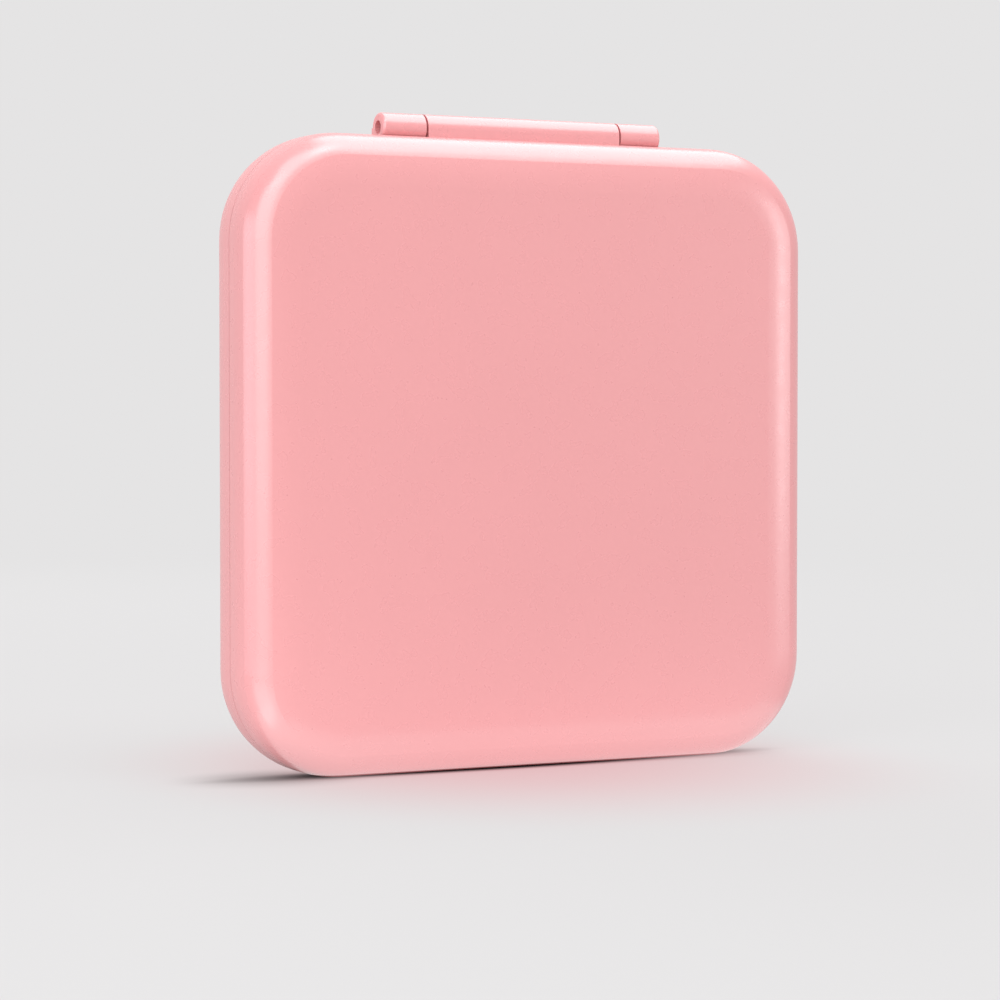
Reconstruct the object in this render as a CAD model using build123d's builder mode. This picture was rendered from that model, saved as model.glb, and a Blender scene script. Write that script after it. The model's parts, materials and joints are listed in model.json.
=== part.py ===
from build123d import *
from math import radians, sin
import os

# Slim contact lens travel case, standing on its opening edge with the hinge barrel on top.
# Millimetres. X runs to the right, Z up to the hinge, Y from the lid (-Y) to the base (+Y).
# The origin is the middle of the edge that it stands on, and the shells part at Y = 0.

# Outer case
WIDTH = 86.0
HEIGHT = 86.0
DEPTH = 15.0
CORNER_R = 14.4
SEAM = 0.10
WALL = 1.7
FLOOR = 1.5
INNER_EDGE_R = 3.4
INNER_Y = DEPTH / 2 - FLOOR

# Soft outer edge: three arcs that run into each other, from the face to the side
EDGE_FACE_R = 16.3
EDGE_R = 3.95
EDGE_SIDE_R = 10.8
EDGE_FACE_END = 14.0
EDGE_SIDE_START = 76.5
EDGE_SPARE = 1.0

# Dust lip on the base rim and its rebate in the lid
LIP_INSET = 0.95
LIP_HEIGHT = 0.85
REBATE_INSET = 0.80
REBATE_DEPTH = 1.15
LIP_END_Z = 70.0
LIP_CLEAR = 0.30
THUMB_WIDTH = 16.0
THUMB_R = 1.3
THUMB_DEPTH = 1.0
LIP_BREAK = THUMB_WIDTH + 3.0
LIP_BREAK_TALL = 6.8
ROOT = 0.1

# Hinge barrel: two outer knuckles on the base, one long one on the lid, one pin
BARREL_R = 2.0
BARREL_LENGTH = 42.8
AXIS_Z = HEIGHT + 1.2
GROOVE_X = 14.9
GROOVE = 0.30
KNUCKLE_END_R = 0.45
RELIEF_R = BARREL_R + 0.2
BORE_R = 0.95
TIGHT_BORE_R = 0.92
PIN_R = 0.90
PIN_RECESS = 1.3
PIN_TIP_R = 0.25
LEG_ROOT_Z = HEIGHT - 1.0

# Magnets that hold the lid shut
MAGNET_R = 2.0
MAGNET_DEPTH = 1.5
MAGNET_FIT = 0.05
MAGNET_EDGE = 0.15
MAGNET_X = 20.0
MAGNET_Z = 4.7
MAGNET_POST_R = 2.8
MAGNET_POST_Y = -0.4
MAGNET_BOSS_R = 2.75
MAGNET_BOSS_DEPTH = 2.3

# Mirror in the lid
MIRROR_SIZE = 68.0
MIRROR_R = 9.0
MIRROR_DEPTH = 1.2
PAD_DEPTH = 0.3
PAD_INSET = 2.0
BEZEL_SIZE = 75.4
BEZEL_R = 12.0
BEZEL_DEPTH = 1.6
BEZEL_GAP = 0.15
BEZEL_NOTCH_R = MAGNET_POST_R + 0.2
MIRROR_BEVEL = 0.35

# Tray in the base, measured up from the base's inside floor
TRAY_GAP = 0.2
TRAY_TOP = 5.6
TRAY_DECK = 1.2
TRAY_FOOT = 0.05
TRAY_SKIRT_FOOT = 2.6
TRAY_WALL = 1.0
POCKET_FLOOR = 0.85

# Twin lens case
WELL_X = 18.5
WELL_Z = 24.0
CASE_FOOT = 0.9
CASE_PLATE = 1.4
CASE_PLATE_R = 12.4
BRIDGE_WIDTH = 14.0
COLLAR_R = 11.0
COLLAR_TOP = 7.05
WELL_R = 9.9
WELL_FLOOR = 2.0
WELL_BOTTOM_R = 3.0
CASE_POCKET_R = 13.2
BRIDGE_POCKET = 15.0
TAB_LENGTH = 12.0
TAB_WIDTH = 1.4
TAB_R = 0.45
TAB_TOP = 6.6

# Screw caps
CAP_R = 12.8
CAP_FOOT = 3.2
CAP_TOP = 8.9
CAP_PLATE = 1.2
CAP_BORE_R = 11.3
CAP_EDGE_R = 0.6
FLUTES = 24
FLUTE_R = 0.75
FLUTE_CENTRE_R = CAP_R + 0.25
FLUTE_TOP_GAP = 0.4
CAP_DISH_R = 10.4
CAP_DISH = 0.3
MARK_STROKE = 1.3
MARK_TALL = 7.6
MARK_WIDE = 4.8
MARK_BOWL_R = 2.05
MARK_EYE_R = 0.4
SEAL_R = 10.9
SEAL_BORE_R = 9.4
SEAL_DEPTH = 0.6
SEAL_GAP = 0.02

# Tweezers, lying across the tray with their tips to the right; arm points are (X, distance from the middle)
TWEEZER_Z = 52.0
TWEEZER_FOOT = 1.7
TWEEZER_DEEP = 2.8
TWEEZER_CHANNEL = (66.0, 14.6)
TWEEZER_CHANNEL_R = 4.8
ARM_THICK = 1.6
ARM_ROOT = (-29.6, 1.35)
ARM_START_X = -29.2
ARM_BOW = (2.0, 5.6)
ARM_END = (27.0, 4.6)
GRIP_RIBS = 7
GRIP_PITCH = 1.5
GRIP_R = 0.35
HEEL_X = -27.3
HEEL_LENGTH = 6.6
HEEL_WIDTH = 7.6
HEEL_SIDE = 0.6
HEEL_SLOT_SIDE = 0.1
HEEL_SLOT_GAP = 0.2
HEEL_CORNER_R = 1.6
TIP_START = (21.0, 5.05)
TIP_END = (31.0, 4.05)
TIP_WIDTH = 2.8
TIP_SIDE = 0.4
TIP_NOSE_R = 1.3
TIP_GAP = 0.03

# Suction stick, lying above the tweezers
STICK_Z = 72.6
STICK_H = 4.7
STICK_CHANNEL = (66.0, 8.0)
STICK_CHANNEL_R = 2.6
HANDLE_R = 2.0
HANDLE_X = (-30.5, 20.5)
HANDLE_END_R = 1.4
GROOVE_R = 1.6
GROOVE_WIDTH = 1.4
GROOVE_PLACES = (-1.0, 2.0, 5.0, 8.0)
SPIGOT_R = 1.2
SPIGOT_END_X = 24.5
SPIGOT_GAP = 0.03
CUP_X = (20.6, 30.5)
CUP_R = 3.5
CUP_NECK_R = 2.2
CUP_NECK_END_X = 24.0
CUP_BELL_R = 2.6
CUP_RIM = 0.4
CUP_DISH = 2.2
SADDLE_PLACES = (-22.0, 14.0)
SADDLE_WIDTH = 2.4
SADDLE_TOP = 4.3
SADDLE_R = HANDLE_R + 0.1

# Round scoop between the two channels, where a finger gets under either tool
SCOOP_R = 7.5
SCOOP_Z = 63.6


def facing(y):
    """The plane parallel to the case's face at depth y, looking out of the lid side."""
    return Plane.XZ.offset(-y)


def above_floor(h):
    """The same kind of plane, h above the inside floor of the base."""
    return facing(INNER_Y - h)


def dished_block(inset, rim_y, floor_y, edge_radius):
    """A rounded square block from rim_y to floor_y, set in on every side, with its far edge rounded."""
    with BuildPart() as block:
        with BuildSketch(facing(rim_y)):
            with Locations((0, HEIGHT / 2)):
                RectangleRounded(WIDTH - 2 * inset, HEIGHT - 2 * inset, CORNER_R - inset)
        extrude(amount=rim_y - floor_y)
        far_face = block.faces().sort_by(Axis.Y)[-1 if floor_y > rim_y else 0]
        fillet(far_face.edges(), edge_radius)
    return block.part


def shell_block(rim_y, face_y):
    """The outside of one shell: a rounded square block whose face runs into its sides in one soft curve."""
    inward = 1 if rim_y > face_y else -1
    face_turn = sin(radians(EDGE_FACE_END))
    side_turn = sin(radians(EDGE_SIDE_START))
    reach = EDGE_FACE_R * face_turn + EDGE_R * (side_turn - face_turn) + EDGE_SIDE_R * (1 - side_turn)
    beyond = face_y - inward * EDGE_SPARE
    arcs = (
        (EDGE_FACE_R, EDGE_FACE_END),
        (EDGE_R, EDGE_SIDE_START - EDGE_FACE_END),
        (EDGE_SIDE_R, 90 - EDGE_SIDE_START),
    )
    with BuildLine(facing(face_y)) as outline:
        FilletPolyline(
            (-WIDTH / 2, 0), (WIDTH / 2, 0), (WIDTH / 2, HEIGHT), (-WIDTH / 2, HEIGHT),
            radius=CORNER_R, close=True,
        )
    with BuildPart() as block:
        with BuildSketch(facing(rim_y)):
            with Locations((0, HEIGHT / 2)):
                RectangleRounded(WIDTH, HEIGHT, CORNER_R)
        extrude(amount=rim_y - face_y)
        with BuildSketch(Plane.YZ):
            with BuildLine():
                point = Vector(face_y, reach)
                heading = Vector(0, -1)
                for radius, turn in arcs:
                    arc = JernArc(start=point, tangent=heading, radius=radius, arc_size=inward * turn)
                    point = arc @ 1
                    heading = arc % 1
                Polyline(
                    point, (point.X, -EDGE_SPARE), (beyond, -EDGE_SPARE), (beyond, reach), (face_y, reach)
                )
            make_face()
        sweep(path=outline.wire(), mode=Mode.SUBTRACT)
    return block.part


def rim_band(plane, outer_inset, inner_inset, end_z, gap_width, depth):
    """A band that follows the rim from end_z down one side and up the other, broken at the thumb scoop."""
    with BuildPart() as band:
        with BuildSketch(plane):
            with Locations((0, HEIGHT / 2)):
                RectangleRounded(WIDTH - 2 * outer_inset, HEIGHT - 2 * outer_inset, CORNER_R - outer_inset)
                hole_size = (WIDTH - 2 * inner_inset, HEIGHT - 2 * inner_inset)
                RectangleRounded(*hole_size, CORNER_R - inner_inset, mode=Mode.SUBTRACT)
            with Locations((0, HEIGHT)):
                Rectangle(WIDTH, 2 * (HEIGHT - end_z), mode=Mode.SUBTRACT)
            Rectangle(gap_width, LIP_BREAK_TALL, mode=Mode.SUBTRACT)
        extrude(amount=depth)
    return band.part


def knuckle(x_start, x_end, side, rounded_ends):
    """A length of barrel with the leg that joins it to its shell: side is 1 for the base, -1 for the lid."""
    with BuildPart() as piece:
        with BuildSketch(Plane.YZ.offset(x_start)):
            with Locations((0, AXIS_Z)):
                Circle(BARREL_R)
        extrude(amount=x_end - x_start)
        ends = piece.faces().filter_by(GeomType.PLANE).sort_by(Axis.X)
        for end in rounded_ends:
            fillet(ends[end].edges(), KNUCKLE_END_R)
        leg_width = BARREL_R - SEAM / 2
        with BuildSketch(Plane.YZ.offset(x_start)):
            with Locations((side * (SEAM + leg_width) / 2, (LEG_ROOT_Z + AXIS_Z) / 2)):
                Rectangle(leg_width, AXIS_Z - LEG_ROOT_Z)
        extrude(amount=x_end - x_start)
    return piece.part


def barrel_rod(x_start, x_end, radius):
    """A plain round rod on the hinge axis."""
    with BuildPart() as rod:
        with BuildSketch(Plane.YZ.offset(x_start)):
            with Locations((0, AXIS_Z)):
                Circle(radius)
        extrude(amount=x_end - x_start)
    return rod.part


def round_pocket(x, radius, mouth_h, bottom_h, bottom_r):
    """The space inside one lens well, with a rounded bottom."""
    with BuildPart() as space:
        with BuildSketch(above_floor(mouth_h)):
            with Locations((x, WELL_Z)):
                Circle(radius)
        extrude(amount=bottom_h - mouth_h)
        fillet(space.faces().sort_by(Axis.Y)[-1].edges(), bottom_r)
    return space.part


def left_mark():
    """The letter L, drawn about the sketch's origin."""
    with BuildSketch() as letter:
        with Locations(((MARK_STROKE - MARK_WIDE) / 2, 0)):
            Rectangle(MARK_STROKE, MARK_TALL)
        with Locations((0, (MARK_STROKE - MARK_TALL) / 2)):
            Rectangle(MARK_WIDE, MARK_STROKE)
    return letter.sketch


def right_mark():
    """The letter R, drawn about the sketch's origin."""
    bowl_tall = MARK_TALL / 2 + MARK_STROKE / 2
    with BuildSketch() as letter:
        with Locations((0, (MARK_TALL - bowl_tall) / 2)):
            RectangleRounded(MARK_WIDE, bowl_tall, MARK_BOWL_R)
            RectangleRounded(
                MARK_WIDE - 2 * MARK_STROKE, bowl_tall - 2 * MARK_STROKE, MARK_EYE_R, mode=Mode.SUBTRACT
            )
        with Locations(((MARK_STROKE - MARK_WIDE) / 2, 0)):
            Rectangle(MARK_STROKE, MARK_TALL)
        with BuildLine():
            Polyline(
                (0, 0), (MARK_STROKE, 0), (MARK_WIDE / 2, -MARK_TALL / 2),
                (MARK_WIDE / 2 - MARK_STROKE, -MARK_TALL / 2), close=True,
            )
        make_face()
    return letter.sketch


def screw_cap(x, letter):
    """A fluted cap with a dished top and a raised letter."""
    with BuildPart() as cap:
        with BuildSketch(above_floor(CAP_FOOT)):
            with Locations((x, WELL_Z)):
                Circle(CAP_R)
        extrude(amount=CAP_TOP - CAP_FOOT)
        with BuildSketch(above_floor(CAP_FOOT)):
            with Locations((x, WELL_Z)):
                with PolarLocations(FLUTE_CENTRE_R, FLUTES):
                    Circle(FLUTE_R)
        extrude(amount=CAP_TOP - CAP_FOOT - CAP_EDGE_R - FLUTE_TOP_GAP, mode=Mode.SUBTRACT)
        fillet(cap.faces().sort_by(Axis.Y)[0].edges(), CAP_EDGE_R)
        with BuildSketch(above_floor(CAP_TOP)):
            with Locations((x, WELL_Z)):
                Circle(CAP_DISH_R)
        extrude(amount=-CAP_DISH, mode=Mode.SUBTRACT)
        with BuildSketch(above_floor(CAP_TOP - CAP_DISH)):
            with Locations((x, WELL_Z)):
                add(letter)
        extrude(amount=CAP_DISH)
        with BuildSketch(above_floor(CAP_FOOT)):
            with Locations((x, WELL_Z)):
                Circle(CAP_BORE_R)
        extrude(amount=CAP_TOP - CAP_PLATE - CAP_FOOT, mode=Mode.SUBTRACT)
    return cap.part


def cap_seal(x):
    """The flat ring between a cap and the collar of its well."""
    with BuildPart() as seal:
        with BuildSketch(above_floor(COLLAR_TOP + SEAL_GAP)):
            with Locations((x, WELL_Z)):
                Circle(SEAL_R)
                Circle(SEAL_BORE_R, mode=Mode.SUBTRACT)
        extrude(amount=SEAL_DEPTH)
    return seal.part


def arm_bar(side, foot, thickness, depth):
    """A bowed bar along one tweezer arm: side is 1 for the upper arm, -1 for the lower one."""
    with BuildPart() as bar:
        with BuildSketch(above_floor(foot)):
            with BuildLine():
                ThreePointArc(*[(x, TWEEZER_Z + side * z) for x, z in (ARM_ROOT, ARM_BOW, ARM_END)])
            trace(line_width=thickness)
        extrude(amount=depth)
    return bar.part


def tweezer_arm(side):
    """One springy arm with grip ribs on its outer face."""
    with BuildPart() as arm:
        add(arm_bar(side, TWEEZER_FOOT, ARM_THICK, TWEEZER_DEEP))
        split(bisect_by=Plane.YZ.offset(ARM_START_X), keep=Keep.TOP)
        with BuildSketch(above_floor(TWEEZER_FOOT)):
            with Locations((ARM_BOW[0], TWEEZER_Z + side * (ARM_BOW[1] + ARM_THICK / 2))):
                with GridLocations(GRIP_PITCH, 1, GRIP_RIBS, 1):
                    Circle(GRIP_R)
        extrude(amount=TWEEZER_DEEP)
    return arm.part


def tweezer_tip(side):
    """A soft sleeve with a round nose, pushed over the end of an arm."""
    start, end = ((x, TWEEZER_Z + side * z) for x, z in (TIP_START, TIP_END))
    with BuildPart() as tip:
        with BuildSketch(above_floor(TWEEZER_FOOT - TIP_SIDE)):
            with BuildLine():
                Line(start, end)
            trace(line_width=TIP_WIDTH)
        extrude(amount=TWEEZER_DEEP + 2 * TIP_SIDE)
        nose = tip.faces().filter_by(GeomType.PLANE).sort_by(Axis.X)[-1]
        fillet(nose.edges().filter_by(Axis.Y), TIP_NOSE_R)
        add(
            arm_bar(side, TWEEZER_FOOT - TIP_GAP, ARM_THICK + 2 * TIP_GAP, TWEEZER_DEEP + 2 * TIP_GAP),
            mode=Mode.SUBTRACT,
        )
    return tip.part


def save(part, name):
    """Labels a finished piece and writes its STEP file."""
    part.label = name
    export_step(part, f"parts/{name}.step")


os.makedirs("parts", exist_ok=True)

outer_start = GROOVE_X + GROOVE / 2
centre_end = GROOVE_X - GROOVE / 2
barrel_end = BARREL_LENGTH / 2

# ---------------------------------------------------------------- base shell
with BuildPart() as base_shell:
    add(shell_block(SEAM / 2, DEPTH / 2))
    add(dished_block(WALL, -WALL, INNER_Y, INNER_EDGE_R), mode=Mode.SUBTRACT)
    add(rim_band(facing(WALL), LIP_INSET, WALL, LIP_END_Z, LIP_BREAK, WALL + LIP_HEIGHT))
    add(barrel_rod(-outer_start, outer_start, RELIEF_R), mode=Mode.SUBTRACT)
    add(knuckle(-barrel_end, -outer_start, 1, (0,)))
    add(knuckle(outer_start, barrel_end, 1, (-1,)))
    add(barrel_rod(-WIDTH / 2, WIDTH / 2, TIGHT_BORE_R), mode=Mode.SUBTRACT)
save(base_shell.part, "base_shell")

# ---------------------------------------------------------------- lid shell
with BuildPart() as lid_shell:
    add(shell_block(-SEAM / 2, -DEPTH / 2))
    add(dished_block(WALL, WALL, -INNER_Y, INNER_EDGE_R), mode=Mode.SUBTRACT)
    rebate_end_z = LIP_END_Z + LIP_CLEAR
    rebate_break = LIP_BREAK - LIP_CLEAR
    rebate_depth = WALL + REBATE_DEPTH
    add(
        rim_band(facing(WALL), REBATE_INSET, WALL, rebate_end_z, rebate_break, rebate_depth),
        mode=Mode.SUBTRACT,
    )
    with BuildSketch(facing(-INNER_Y - ROOT)):
        with Locations((-MAGNET_X, MAGNET_Z), (MAGNET_X, MAGNET_Z)):
            Circle(MAGNET_POST_R)
    extrude(amount=-(INNER_Y + ROOT + MAGNET_POST_Y))
    with BuildSketch(facing(MAGNET_POST_Y)):
        with Locations((-MAGNET_X, MAGNET_Z), (MAGNET_X, MAGNET_Z)):
            Circle(MAGNET_R + MAGNET_FIT)
    extrude(amount=MAGNET_DEPTH, mode=Mode.SUBTRACT)
    for x_start, x_end in ((-barrel_end - GROOVE, -centre_end), (centre_end, barrel_end + GROOVE)):
        add(barrel_rod(x_start, x_end, RELIEF_R), mode=Mode.SUBTRACT)
    add(knuckle(-centre_end, centre_end, -1, ()))
    add(barrel_rod(-centre_end, centre_end, BORE_R), mode=Mode.SUBTRACT)
    with BuildSketch(Plane.YZ.offset(-THUMB_WIDTH / 2)):
        with Locations((-SEAM / 2, THUMB_DEPTH - THUMB_R)):
            Circle(THUMB_R)
    extrude(amount=THUMB_WIDTH, mode=Mode.SUBTRACT)
save(lid_shell.part, "lid_shell")

# ---------------------------------------------------------------- hinge pin
with BuildPart() as hinge_pin:
    with BuildSketch(Plane.YZ.offset(PIN_RECESS - barrel_end)):
        with Locations((0, AXIS_Z)):
            Circle(PIN_R)
    extrude(amount=BARREL_LENGTH - 2 * PIN_RECESS)
    pin_ends = hinge_pin.faces().filter_by(GeomType.PLANE)
    fillet(pin_ends.edges(), PIN_TIP_R)
save(hinge_pin.part, "hinge_pin")

# ---------------------------------------------------------------- magnets
tray_magnet_y = INNER_Y - TRAY_TOP
for body, magnet_y in (("base", tray_magnet_y), ("lid", MAGNET_POST_Y - MAGNET_DEPTH)):
    for side, x in (("left", -MAGNET_X), ("right", MAGNET_X)):
        with BuildPart() as magnet:
            with BuildSketch(facing(magnet_y + MAGNET_DEPTH)):
                with Locations((x, MAGNET_Z)):
                    Circle(MAGNET_R)
            extrude(amount=MAGNET_DEPTH)
            chamfer(magnet.faces().filter_by(Axis.Y).edges(), MAGNET_EDGE)
        save(magnet.part, f"{body}_magnet_{side}")

# ---------------------------------------------------------------- mirror set
with BuildPart() as mirror_pad:
    with BuildSketch(facing(-INNER_Y)):
        with Locations((0, HEIGHT / 2)):
            RectangleRounded(MIRROR_SIZE - 2 * PAD_INSET, MIRROR_SIZE - 2 * PAD_INSET, MIRROR_R - PAD_INSET)
    extrude(amount=-PAD_DEPTH)
save(mirror_pad.part, "mirror_pad")

with BuildPart() as mirror_plate:
    with BuildSketch(facing(PAD_DEPTH - INNER_Y)):
        with Locations((0, HEIGHT / 2)):
            RectangleRounded(MIRROR_SIZE, MIRROR_SIZE, MIRROR_R)
    extrude(amount=-MIRROR_DEPTH)
    chamfer(mirror_plate.faces().sort_by(Axis.Y)[-1].edges(), MIRROR_BEVEL)
save(mirror_plate.part, "mirror")

with BuildPart() as mirror_bezel:
    opening = MIRROR_SIZE + 2 * BEZEL_GAP
    with BuildSketch(facing(-INNER_Y)):
        with Locations((0, HEIGHT / 2)):
            RectangleRounded(BEZEL_SIZE, BEZEL_SIZE, BEZEL_R)
            RectangleRounded(opening, opening, MIRROR_R + BEZEL_GAP, mode=Mode.SUBTRACT)
        with Locations((-MAGNET_X, MAGNET_Z), (MAGNET_X, MAGNET_Z)):
            Circle(BEZEL_NOTCH_R, mode=Mode.SUBTRACT)
    extrude(amount=-BEZEL_DEPTH)
save(mirror_bezel.part, "mirror_bezel")

# ---------------------------------------------------------------- tray
with BuildSketch() as pockets:
    with Locations((-WELL_X, WELL_Z), (WELL_X, WELL_Z)):
        Circle(CASE_POCKET_R)
    with Locations((0, WELL_Z)):
        Rectangle(2 * WELL_X, BRIDGE_POCKET)
    with Locations((0, TWEEZER_Z)):
        RectangleRounded(*TWEEZER_CHANNEL, TWEEZER_CHANNEL_R)
    with Locations((0, STICK_Z)):
        RectangleRounded(*STICK_CHANNEL, STICK_CHANNEL_R)
    with Locations((0, SCOOP_Z)):
        Circle(SCOOP_R)

with BuildPart() as inner_tray:
    tray_inset = WALL + TRAY_GAP
    with BuildSketch(above_floor(TRAY_TOP)):
        with Locations((0, HEIGHT / 2)):
            RectangleRounded(WIDTH - 2 * tray_inset, HEIGHT - 2 * tray_inset, CORNER_R - tray_inset)
    extrude(amount=-TRAY_DECK)
    with BuildSketch(above_floor(TRAY_SKIRT_FOOT)):
        with Locations((0, HEIGHT / 2)):
            RectangleRounded(WIDTH - 2 * tray_inset, HEIGHT - 2 * tray_inset, CORNER_R - tray_inset)
            skirt_inset = tray_inset + TRAY_WALL
            RectangleRounded(
                WIDTH - 2 * skirt_inset, HEIGHT - 2 * skirt_inset, CORNER_R - skirt_inset, mode=Mode.SUBTRACT
            )
    extrude(amount=TRAY_TOP - TRAY_DECK - TRAY_SKIRT_FOOT)
    with BuildSketch(above_floor(TRAY_FOOT)):
        add(pockets.sketch)
        offset(amount=TRAY_WALL)
    extrude(amount=TRAY_TOP - TRAY_DECK - TRAY_FOOT)
    with BuildSketch(above_floor(TRAY_TOP)):
        with Locations((-MAGNET_X, MAGNET_Z), (MAGNET_X, MAGNET_Z)):
            Circle(MAGNET_BOSS_R)
    extrude(amount=-MAGNET_BOSS_DEPTH)
    with BuildSketch(above_floor(POCKET_FLOOR)):
        add(pockets.sketch)
    extrude(amount=TRAY_TOP, mode=Mode.SUBTRACT)
    with BuildSketch(above_floor(TRAY_TOP)):
        with Locations((-MAGNET_X, MAGNET_Z), (MAGNET_X, MAGNET_Z)):
            Circle(MAGNET_R + MAGNET_FIT)
    extrude(amount=-MAGNET_DEPTH, mode=Mode.SUBTRACT)
    for x in SADDLE_PLACES:
        with BuildSketch(Plane.YZ.offset(x - SADDLE_WIDTH / 2)):
            with Locations((INNER_Y - (POCKET_FLOOR + SADDLE_TOP) / 2, STICK_Z)):
                Rectangle(SADDLE_TOP - POCKET_FLOOR, STICK_CHANNEL[1] + TRAY_WALL)
            with Locations((INNER_Y - STICK_H, STICK_Z)):
                Circle(SADDLE_R, mode=Mode.SUBTRACT)
        extrude(amount=SADDLE_WIDTH)
save(inner_tray.part, "inner_tray")

# ---------------------------------------------------------------- twin lens case
with BuildPart() as lens_case_body:
    with BuildSketch(above_floor(CASE_FOOT)):
        with Locations((-WELL_X, WELL_Z), (WELL_X, WELL_Z)):
            Circle(CASE_PLATE_R)
        with Locations((0, WELL_Z)):
            Rectangle(2 * WELL_X, BRIDGE_WIDTH)
    extrude(amount=CASE_PLATE)
    with BuildSketch(above_floor(CASE_FOOT)):
        with Locations((-WELL_X, WELL_Z), (WELL_X, WELL_Z)):
            Circle(COLLAR_R)
    extrude(amount=COLLAR_TOP - CASE_FOOT)
    for x in (-WELL_X, WELL_X):
        add(round_pocket(x, WELL_R, COLLAR_TOP + WALL, WELL_FLOOR, WELL_BOTTOM_R), mode=Mode.SUBTRACT)
    with BuildSketch(above_floor(CASE_FOOT)):
        with Locations((0, WELL_Z)):
            RectangleRounded(TAB_WIDTH, TAB_LENGTH, TAB_R)
    extrude(amount=TAB_TOP - CASE_FOOT)
save(lens_case_body.part, "lens_case_body")

# ---------------------------------------------------------------- caps and seals
for side, x, letter in (("left", -WELL_X, left_mark()), ("right", WELL_X, right_mark())):
    save(screw_cap(x, letter), f"{side}_cap")
    save(cap_seal(x), f"{side}_cap_seal")

# ---------------------------------------------------------------- tweezers
with BuildPart() as tweezer_heel:
    with BuildSketch(above_floor(TWEEZER_FOOT - HEEL_SIDE)):
        with Locations((HEEL_X, TWEEZER_Z)):
            RectangleRounded(HEEL_LENGTH, HEEL_WIDTH, HEEL_CORNER_R)
    extrude(amount=TWEEZER_DEEP + 2 * HEEL_SIDE)
    for side in (1, -1):
        slot_foot = TWEEZER_FOOT - HEEL_SLOT_SIDE
        slot_depth = TWEEZER_DEEP + 2 * HEEL_SLOT_SIDE
        add(arm_bar(side, slot_foot, ARM_THICK + 2 * HEEL_SLOT_GAP, slot_depth), mode=Mode.SUBTRACT)
save(tweezer_heel.part, "tweezer_heel")

for name, side in (("upper", 1), ("lower", -1)):
    save(tweezer_arm(side), f"tweezer_{name}_arm")
    save(tweezer_tip(side), f"tweezer_{name}_tip")

# ---------------------------------------------------------------- suction stick
stick_y = INNER_Y - STICK_H
with BuildPart() as stick_handle:
    with BuildSketch(Plane.YZ.offset(HANDLE_X[0])):
        with Locations((stick_y, STICK_Z)):
            Circle(HANDLE_R)
    extrude(amount=HANDLE_X[1] - HANDLE_X[0])
    fillet(stick_handle.faces().sort_by(Axis.X)[0].edges(), HANDLE_END_R)
    for x in GROOVE_PLACES:
        with BuildSketch(Plane.YZ.offset(x)):
            with Locations((stick_y, STICK_Z)):
                Circle(CUP_R)
                Circle(GROOVE_R, mode=Mode.SUBTRACT)
        extrude(amount=GROOVE_WIDTH, mode=Mode.SUBTRACT)
    with BuildSketch(Plane.YZ.offset(HANDLE_X[1])):
        with Locations((stick_y, STICK_Z)):
            Circle(SPIGOT_R)
    extrude(amount=SPIGOT_END_X - HANDLE_X[1])
save(stick_handle.part, "stick_handle")

with BuildPart() as suction_cup:
    socket_r = SPIGOT_R + SPIGOT_GAP
    socket_end = SPIGOT_END_X + SPIGOT_GAP
    dish_x = CUP_X[1] - CUP_DISH
    bell_x = (CUP_NECK_END_X + CUP_X[1]) / 2
    rim_r = CUP_R - CUP_RIM
    dish_r = (CUP_DISH**2 + rim_r**2) / (2 * CUP_DISH)
    dish_rise = dish_r - (dish_r**2 - rim_r**2 / 4) ** 0.5
    with BuildSketch(facing(stick_y)):
        with BuildLine():
            Polyline(
                (dish_x, STICK_Z), (socket_end, STICK_Z), (socket_end, STICK_Z + socket_r),
                (CUP_X[0], STICK_Z + socket_r), (CUP_X[0], STICK_Z + CUP_NECK_R),
                (CUP_NECK_END_X, STICK_Z + CUP_NECK_R),
            )
            bell_middle = (bell_x, STICK_Z + CUP_BELL_R)
            ThreePointArc((CUP_NECK_END_X, STICK_Z + CUP_NECK_R), bell_middle, (CUP_X[1], STICK_Z + CUP_R))
            Line((CUP_X[1], STICK_Z + CUP_R), (CUP_X[1], STICK_Z + rim_r))
            dish_middle = (dish_x + dish_rise, STICK_Z + rim_r / 2)
            ThreePointArc((CUP_X[1], STICK_Z + rim_r), dish_middle, (dish_x, STICK_Z))
        make_face()
    revolve(axis=Axis((0, stick_y, STICK_Z), (1, 0, 0)))
save(suction_cup.part, "suction_cup")
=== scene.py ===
import json
import math
import bmesh
import bpy
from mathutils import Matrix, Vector


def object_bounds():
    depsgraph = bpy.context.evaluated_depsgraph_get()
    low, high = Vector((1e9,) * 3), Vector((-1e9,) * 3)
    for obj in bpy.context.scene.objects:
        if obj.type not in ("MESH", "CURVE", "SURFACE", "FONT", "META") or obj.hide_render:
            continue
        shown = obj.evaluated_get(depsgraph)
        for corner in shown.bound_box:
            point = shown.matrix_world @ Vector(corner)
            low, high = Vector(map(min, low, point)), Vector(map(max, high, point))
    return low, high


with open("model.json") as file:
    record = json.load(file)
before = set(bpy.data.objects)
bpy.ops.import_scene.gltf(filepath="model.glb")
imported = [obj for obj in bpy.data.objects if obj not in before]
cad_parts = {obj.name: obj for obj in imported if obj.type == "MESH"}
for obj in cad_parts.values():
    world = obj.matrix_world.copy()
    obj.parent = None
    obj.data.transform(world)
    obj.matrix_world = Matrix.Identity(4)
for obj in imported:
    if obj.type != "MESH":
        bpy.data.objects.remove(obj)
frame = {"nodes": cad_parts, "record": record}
cad_low, cad_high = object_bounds()
nodes = frame["nodes"]

# The case is as tall as it is wide, so its own middle is half a width above the floor
WIDTH = cad_high.x - cad_low.x
CENTRE = Vector((0, 0, WIDTH / 2))

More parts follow.
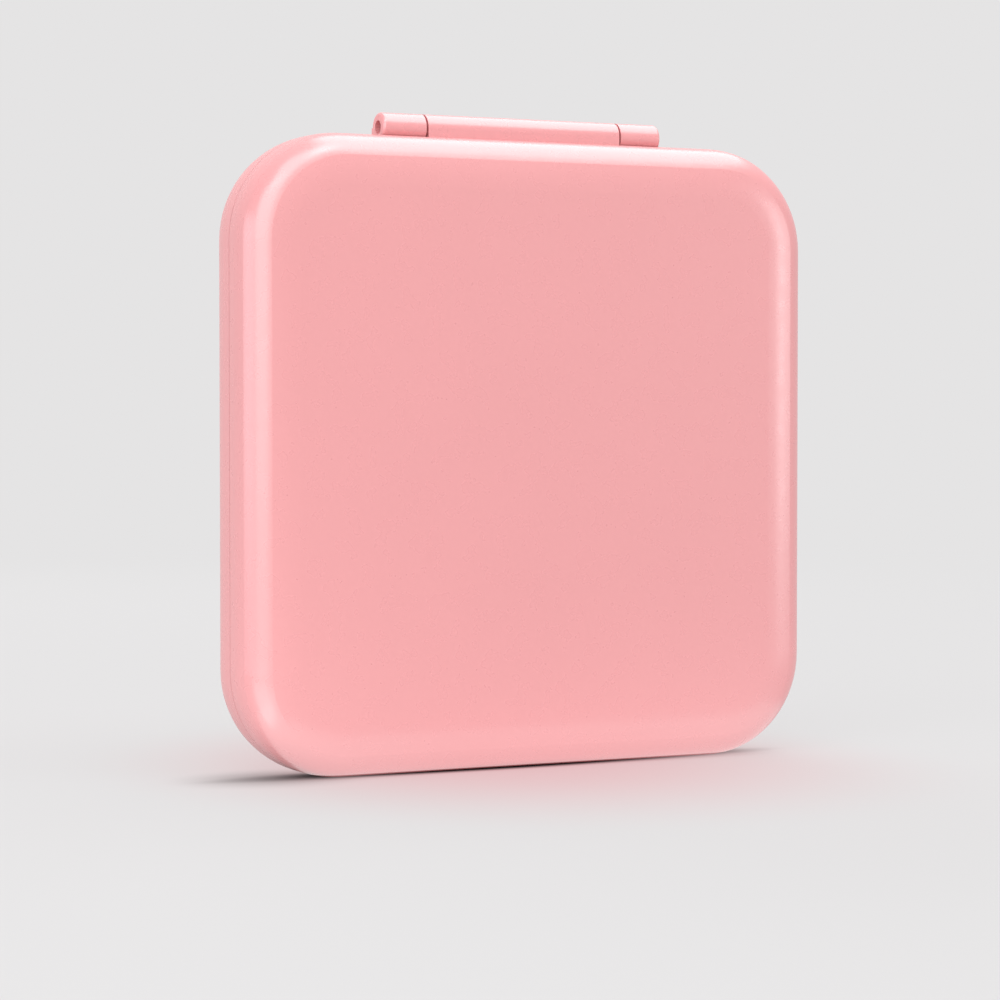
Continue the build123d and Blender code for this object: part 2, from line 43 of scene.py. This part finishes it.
# ---------------------------------------------------------------- camera
VIEW_TURN = math.radians(27.04)
VIEW_DIP = math.radians(1.81)
VIEW_DISTANCE = 4.8865 * WIDTH
VIEW_SIDE = -0.0303 * WIDTH
VIEW_RISE = -0.0740 * WIDTH
LENS = 109.3
SENSOR = 36.0
CLIP_START = 0.01

ahead = Vector((
    math.sin(VIEW_TURN) * math.cos(VIEW_DIP),
    math.cos(VIEW_TURN) * math.cos(VIEW_DIP),
    -math.sin(VIEW_DIP),
))
rightward = Vector((math.cos(VIEW_TURN), -math.sin(VIEW_TURN), 0))
upward = rightward.cross(ahead)
camera_data = bpy.data.cameras.new("camera")
camera_data.lens = LENS
camera_data.sensor_width = SENSOR
camera_data.clip_start = CLIP_START
camera = bpy.data.objects.new("camera", camera_data)
bpy.context.scene.collection.objects.link(camera)
camera.location = CENTRE - ahead * VIEW_DISTANCE + rightward * VIEW_SIDE + upward * VIEW_RISE
camera.rotation_mode = "QUATERNION"
camera.rotation_quaternion = ahead.to_track_quat("-Z", "Y")
bpy.context.scene.camera = camera

# ---------------------------------------------------------------- light
BACKDROP = (0.783, 0.775, 0.777)
CARD_HEIGHT = 0.0005

bpy.context.scene.view_settings.view_transform = "Standard"
world = bpy.data.worlds.new("studio")
world.use_nodes = True
backdrop = world.node_tree.nodes["Background"]
backdrop.inputs["Color"].default_value = (*BACKDROP, 1)
backdrop.inputs["Strength"].default_value = 1.0
bpy.context.scene.world = world


def area_light(name, size, radiance, tint):
    """A rectangular light that the camera doesn't see, equally bright for its area whatever its size."""
    data = bpy.data.lights.new(name, "AREA")
    data.shape = "RECTANGLE"
    data.size, data.size_y = size
    data.energy = radiance * math.pi * size[0] * size[1]
    data.color = tint
    lamp = bpy.data.objects.new(name, data)
    lamp.visible_camera = False
    bpy.context.scene.collection.objects.link(lamp)
    return lamp


def softbox(name, turn, lift, distance, size, radiance, tint, shine=True):
    """A soft panel of light aimed at the case. turn is degrees to the right of the face, and lift degrees
    above the floor. Without shine it makes no highlights."""
    turn, lift = math.radians(turn), math.radians(lift)
    toward = Vector((math.sin(turn) * math.cos(lift), -math.cos(turn) * math.cos(lift), math.sin(lift)))
    lamp = area_light(name, size, radiance, tint)
    lamp.visible_glossy = shine
    lamp.location = CENTRE + toward * distance
    lamp.rotation_mode = "QUATERNION"
    lamp.rotation_quaternion = (-toward).to_track_quat("-Z", "Y")


def floor_card(name, x_range, y_range, radiance, tint):
    """A small card of light that lies on the floor and lights the lower edges from below."""
    size = (x_range[1] - x_range[0], y_range[1] - y_range[0])
    lamp = area_light(name, size, radiance, tint)
    lamp.location = (sum(x_range) / 2, sum(y_range) / 2, CARD_HEIGHT)
    lamp.rotation_euler = (math.pi, 0, 0)


softbox("overhead", 84, 65, 2.00, (3.20, 1.50), 2.5, (0.96, 0.99, 1.0))
softbox("left_front", -46, 20, 0.60, (0.60, 0.62), 1.9, (0.95, 0.99, 1.0))
softbox("left_upper", -24, 60, 0.70, (0.60, 0.42), 1.9, (0.95, 0.99, 1.0))
softbox("right_front", 51, 3, 0.60, (0.11, 0.28), 3.7, (0.95, 1.0, 1.0))
softbox("left_back", -98, 5, 0.60, (0.50, 0.34), 1.35, (0.92, 0.92, 1.0))
softbox("rear", 180, 22, 0.90, (0.70, 0.60), 3.2, (0.97, 0.99, 1.0), shine=False)
floor_card("front_card", (-0.055, 0.055), (-0.0295, -0.0015), 0.66, (0.75, 1.0, 1.0))
floor_card("left_card", (-0.100, -0.046), (-0.060, -0.008), 1.2, (0.9, 1.0, 1.0))


# ---------------------------------------------------------------- shader nodes
NOISE_LOW = 0.3  # a noise texture's values lie mostly between these two
NOISE_HIGH = 0.7


def calculate(tree, operation, first, second):
    """The result of a sum or product. first is a node's output, and second an output or a plain number."""
    step = tree.nodes.new("ShaderNodeMath")
    step.operation = operation
    tree.links.new(first, step.inputs[0])
    if isinstance(second, float):
        step.inputs[1].default_value = second
    else:
        tree.links.new(second, step.inputs[1])
    return step.outputs["Value"]


def map_range(tree, value, before, after):
    """A node that carries value from the range before to the range after."""
    mapped = tree.nodes.new("ShaderNodeMapRange")
    mapped.inputs["From Min"].default_value, mapped.inputs["From Max"].default_value = before
    mapped.inputs["To Min"].default_value, mapped.inputs["To Max"].default_value = after
    tree.links.new(value, mapped.inputs["Value"])
    return mapped


def distance_fade(tree, place, axes, before, after, middle=0.0):
    """A value that goes smoothly through the range after, as the distance from the point middle on the X
    axis goes through the range before. Each axis is scaled by axes, so a small number makes a long shape."""
    along = tree.nodes.new("ShaderNodeVectorMath")
    along.operation = "MULTIPLY_ADD"
    along.inputs[1].default_value = axes
    along.inputs[2].default_value = (-middle * axes[0], 0, 0)
    length = tree.nodes.new("ShaderNodeVectorMath")
    length.operation = "LENGTH"
    tree.links.new(place.outputs["Object"], along.inputs[0])
    tree.links.new(along.outputs["Vector"], length.inputs[0])
    fade = map_range(tree, length.outputs["Value"], before, after)
    fade.interpolation_type = "SMOOTHSTEP"
    return fade.outputs["Result"]


def noise(tree, place, size, stretch=(1, 1, 1)):
    """A noise texture whose features are about size metres across, stretched along an axis if asked."""
    scaled = tree.nodes.new("ShaderNodeVectorMath")
    scaled.operation = "MULTIPLY"
    scaled.inputs[1].default_value = [1 / (size * s) for s in stretch]
    texture = tree.nodes.new("ShaderNodeTexNoise")
    texture.inputs["Scale"].default_value = 1.0
    tree.links.new(place.outputs["Object"], scaled.inputs[0])
    tree.links.new(scaled.outputs["Vector"], texture.inputs["Vector"])
    return texture.outputs[0]


def spread(tree, texture, middle, reach):
    """The texture's value, carried from its usual range to reach below and above middle."""
    after = (middle - reach, middle + reach)
    return map_range(tree, texture, (NOISE_LOW, NOISE_HIGH), after).outputs["Result"]


# ---------------------------------------------------------------- floor
FLOOR_R = 2.4
FLOOR_SIDES = 96
FLOOR_TINT = (0.15, 0.146, 0.146)
FLOOR_GLOW = 0.66

# the floor's own paint gives way to the plain backdrop here
EDGE_AXES = (1, 1, 0)
EDGE_RANGE = (0.25, 0.60)

# painted bounce light: a pink glow on the floor in front of the case, standing in for light thrown off the
# pink case
BOUNCE_GLOW_TINT = (0.86, 0.50, 0.52)
BOUNCE_GLOW_AXES = (1.15, 1, 0)
BOUNCE_GLOW_RANGE = (0.004, 0.072)

# painted contact shadow: the floor's glow fades to nothing where the case meets the floor, leaving a dark
# line of painted shade
CONTACT_SHADOW_AXES = (0.125, 1, 0)
CONTACT_SHADOW_RANGE = (0.0030, 0.0060)
CONTACT_SHADOW_MIDDLE = -0.003

# the painted shadow under the left corner, where the floor's glow is dimmed
CORNER_SHADE = 0.45
CORNER_SHADE_AXES = (0.75, 1, 0)
CORNER_SHADE_RANGE = (0, 0.012)
CORNER_SHADE_MIDDLE = -0.037

floor_mesh = bpy.data.meshes.new("floor")
shape = bmesh.new()
bmesh.ops.create_circle(shape, cap_ends=True, radius=FLOOR_R, segments=FLOOR_SIDES)
shape.to_mesh(floor_mesh)
shape.free()
floor = bpy.data.objects.new("floor", floor_mesh)
bpy.context.scene.collection.objects.link(floor)

floor_paint = bpy.data.materials.new("floor_paint")
floor_paint.use_nodes = True
tree = floor_paint.node_tree
place = tree.nodes.new("ShaderNodeTexCoord")
lit = tree.nodes["Principled BSDF"]
lit.inputs["Base Color"].default_value = (*FLOOR_TINT, 1)
lit.inputs["Specular IOR Level"].default_value = 0.0

# the floor's glow, darkened by a painted contact shadow along the case's foot and a painted shadow under the
# left corner
glow_with_painted_contact_shadow = distance_fade(tree, place, CONTACT_SHADOW_AXES, CONTACT_SHADOW_RANGE, (0, FLOOR_GLOW), CONTACT_SHADOW_MIDDLE)
corner_shade = distance_fade(
    tree, place, CORNER_SHADE_AXES, CORNER_SHADE_RANGE, (CORNER_SHADE, 1), CORNER_SHADE_MIDDLE
)
tree.links.new(calculate(tree, "MULTIPLY", glow_with_painted_contact_shadow, corner_shade), lit.inputs["Emission Strength"])

# painted bounce light: the floor's glow turns pink near the case and plain further out
painted_bounce_glow = tree.nodes.new("ShaderNodeMix")
painted_bounce_glow.data_type = "RGBA"
painted_bounce_glow.inputs["A"].default_value = (*BOUNCE_GLOW_TINT, 1)
painted_bounce_glow.inputs["B"].default_value = (*BACKDROP, 1)
tree.links.new(distance_fade(tree, place, BOUNCE_GLOW_AXES, BOUNCE_GLOW_RANGE, (0, 1)), painted_bounce_glow.inputs["Factor"])
tree.links.new(painted_bounce_glow.outputs["Result"], lit.inputs["Emission Color"])

far = tree.nodes.new("ShaderNodeEmission")
far.inputs["Color"].default_value = (*BACKDROP, 1)
mix = tree.nodes.new("ShaderNodeMixShader")
tree.links.new(distance_fade(tree, place, EDGE_AXES, EDGE_RANGE, (0, 1)), mix.inputs["Fac"])
tree.links.new(lit.outputs["BSDF"], mix.inputs[1])
tree.links.new(far.outputs["Emission"], mix.inputs[2])
tree.links.new(mix.outputs["Shader"], tree.nodes["Material Output"].inputs["Surface"])
floor_mesh.materials.append(floor_paint)

# ---------------------------------------------------------------- finishes
COLOUR_DRIFT = 0.018  # size of the slow change of colour
GLOSS_PATCH = 0.0025  # size of the patches of gloss


def surface(
    name, colour, roughness, grain, depth, mottle=0.02, gloss_change=0.04, stretch=(1, 1, 1), settings=None
):
    """A finish with a fine grain, a slow drift of its colour, and gloss that varies a little over it.
    grain is the size of the texture and depth its relief, both in metres. settings go on the shader."""
    paint = bpy.data.materials.new(name)
    paint.use_nodes = True
    tree = paint.node_tree
    shader = tree.nodes["Principled BSDF"]
    shader.inputs["Base Color"].default_value = (*colour, 1)
    for socket, value in (settings or {}).items():
        shader.inputs[socket].default_value = value
    place = tree.nodes.new("ShaderNodeTexCoord")
    fine = noise(tree, place, grain, stretch)

    drift = spread(tree, noise(tree, place, COLOUR_DRIFT), 0, mottle)
    change = calculate(tree, "ADD", drift, spread(tree, fine, 0, mottle / 2))
    tone = tree.nodes.new("ShaderNodeHueSaturation")
    tone.inputs["Color"].default_value = (*colour, 1)
    tree.links.new(calculate(tree, "ADD", change, 1.0), tone.inputs["Value"])
    tree.links.new(tone.outputs["Color"], shader.inputs["Base Color"])

    gloss = spread(tree, noise(tree, place, GLOSS_PATCH), roughness, gloss_change)
    tree.links.new(gloss, shader.inputs["Roughness"])

    bump = tree.nodes.new("ShaderNodeBump")
    bump.inputs["Strength"].default_value = 1.0
    bump.inputs["Distance"].default_value = depth
    tree.links.new(fine, bump.inputs["Height"])
    tree.links.new(bump.outputs["Normal"], shader.inputs["Normal"])
    return paint


GLOSSY_PLASTIC = {"IOR": 1.7, "Specular IOR Level": 0.9}
CLEAR_SILICONE = {"IOR": 1.41, "Transmission Weight": 0.45}
METAL = {"Metallic": 1.0}
BRUSHED = (40, 1, 1)

# name: colour, roughness, grain, depth, then what differs from the usual
FINISHES = {
    "shell_pink": (
        (0.645, 0.246, 0.252), 0.28, 0.00045, 0.0000004,
        {"mottle": 0.008, "gloss_change": 0.02, "settings": GLOSSY_PLASTIC},
    ),
    "cap_pink": ((0.58, 0.225, 0.250), 0.32, 0.00045, 0.0000006, {"mottle": 0.01, "gloss_change": 0.03}),
    "tray_blush": ((0.60, 0.370, 0.360), 0.55, 0.00025, 0.000012, {}),
    "case_white": ((0.59, 0.585, 0.57), 0.28, 0.00045, 0.0000006, {"mottle": 0.01, "gloss_change": 0.03}),
    "tool_white": ((0.58, 0.57, 0.56), 0.42, 0.00025, 0.000005, {}),
    "pin_steel": ((0.62, 0.62, 0.63), 0.28, 0.00005, 0.000002, {"stretch": BRUSHED, "settings": METAL}),
    "magnet_nickel": ((0.72, 0.71, 0.69), 0.16, 0.00010, 0.000001, {"settings": METAL}),
    "mirror_glass": (
        (0.90, 0.91, 0.92), 0.02, 0.00200, 0.0000001,
        {"mottle": 0.002, "gloss_change": 0.01, "settings": METAL},
    ),
    "foam_tape": ((0.60, 0.59, 0.58), 0.85, 0.00040, 0.00010, {}),
    "silicone_clear": ((0.74, 0.76, 0.77), 0.34, 0.00060, 0.000002, {"settings": CLEAR_SILICONE}),
    "silicone_pink": ((0.57, 0.240, 0.258), 0.38, 0.00060, 0.000006, {}),
}
paints = {name: surface(name, *values, **differences) for name, (*values, differences) in FINISHES.items()}

for entry in frame["record"]["subparts"]:
    piece = nodes[entry["node"]]
    piece.data.materials.clear()
    piece.data.materials.append(paints[entry["material_slot"]])
